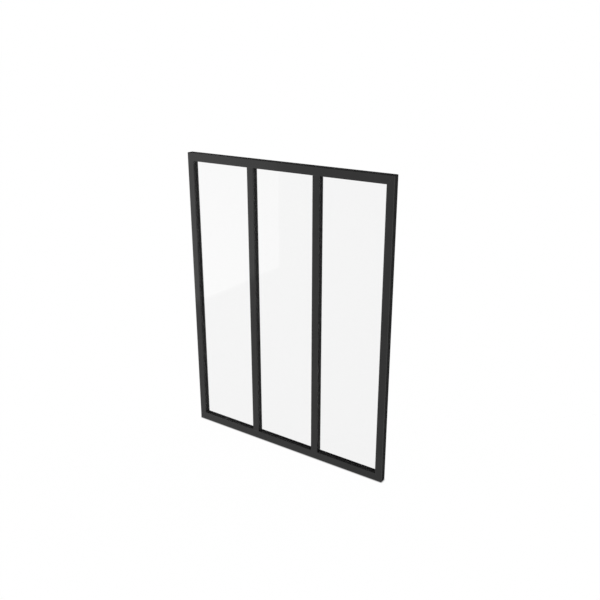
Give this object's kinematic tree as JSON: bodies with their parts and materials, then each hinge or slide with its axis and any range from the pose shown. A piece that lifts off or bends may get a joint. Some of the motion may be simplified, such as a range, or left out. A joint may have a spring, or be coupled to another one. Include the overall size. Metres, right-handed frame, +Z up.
{
  "type": "interior glass partition",
  "caption": "Slim black steel-framed interior glass partition with full-height mullions and fixed clear panes, fixed to a floor, low wall or opening.",
  "frame": {"origin": "centre of the bottom rail's underside", "axes": "+X to the right as seen from the front, +Y from the front face to the back, +Z up"},
  "size_m": [0.931, 0.028, 1.205],
  "materials": {
    "frame_coat": "satin black powder coat",
    "bead_coat": "satin black powder coat",
    "glass": "clear toughened float",
    "gasket": "matt black",
    "setting_block": "matt black"
  },
  "bodies": {
    "root": {"bottom_rail": "frame_coat", "top_rail": "frame_coat", "left_stile": "frame_coat", "right_stile": "frame_coat", "left_mullion": "frame_coat", "right_mullion": "frame_coat", "left_pane": "glass", "left_pane_front_gasket": "gasket", "left_pane_back_gasket": "gasket", "left_pane_top_bead": "bead_coat", "left_pane_bottom_bead": "bead_coat", "left_pane_left_bead": "bead_coat", "left_pane_right_bead": "bead_coat", "left_pane_left_block": "setting_block", "left_pane_right_block": "setting_block", "middle_pane": "glass", "middle_pane_front_gasket": "gasket", "middle_pane_back_gasket": "gasket", "middle_pane_top_bead": "bead_coat", "middle_pane_bottom_bead": "bead_coat", "middle_pane_left_bead": "bead_coat", "middle_pane_right_bead": "bead_coat", "middle_pane_left_block": "setting_block", "middle_pane_right_block": "setting_block", "right_pane": "glass", "right_pane_front_gasket": "gasket", "right_pane_back_gasket": "gasket", "right_pane_top_bead": "bead_coat", "right_pane_bottom_bead": "bead_coat", "right_pane_left_bead": "bead_coat", "right_pane_right_bead": "bead_coat", "right_pane_left_block": "setting_block", "right_pane_right_block": "setting_block"}
  },
  "joints": []
}
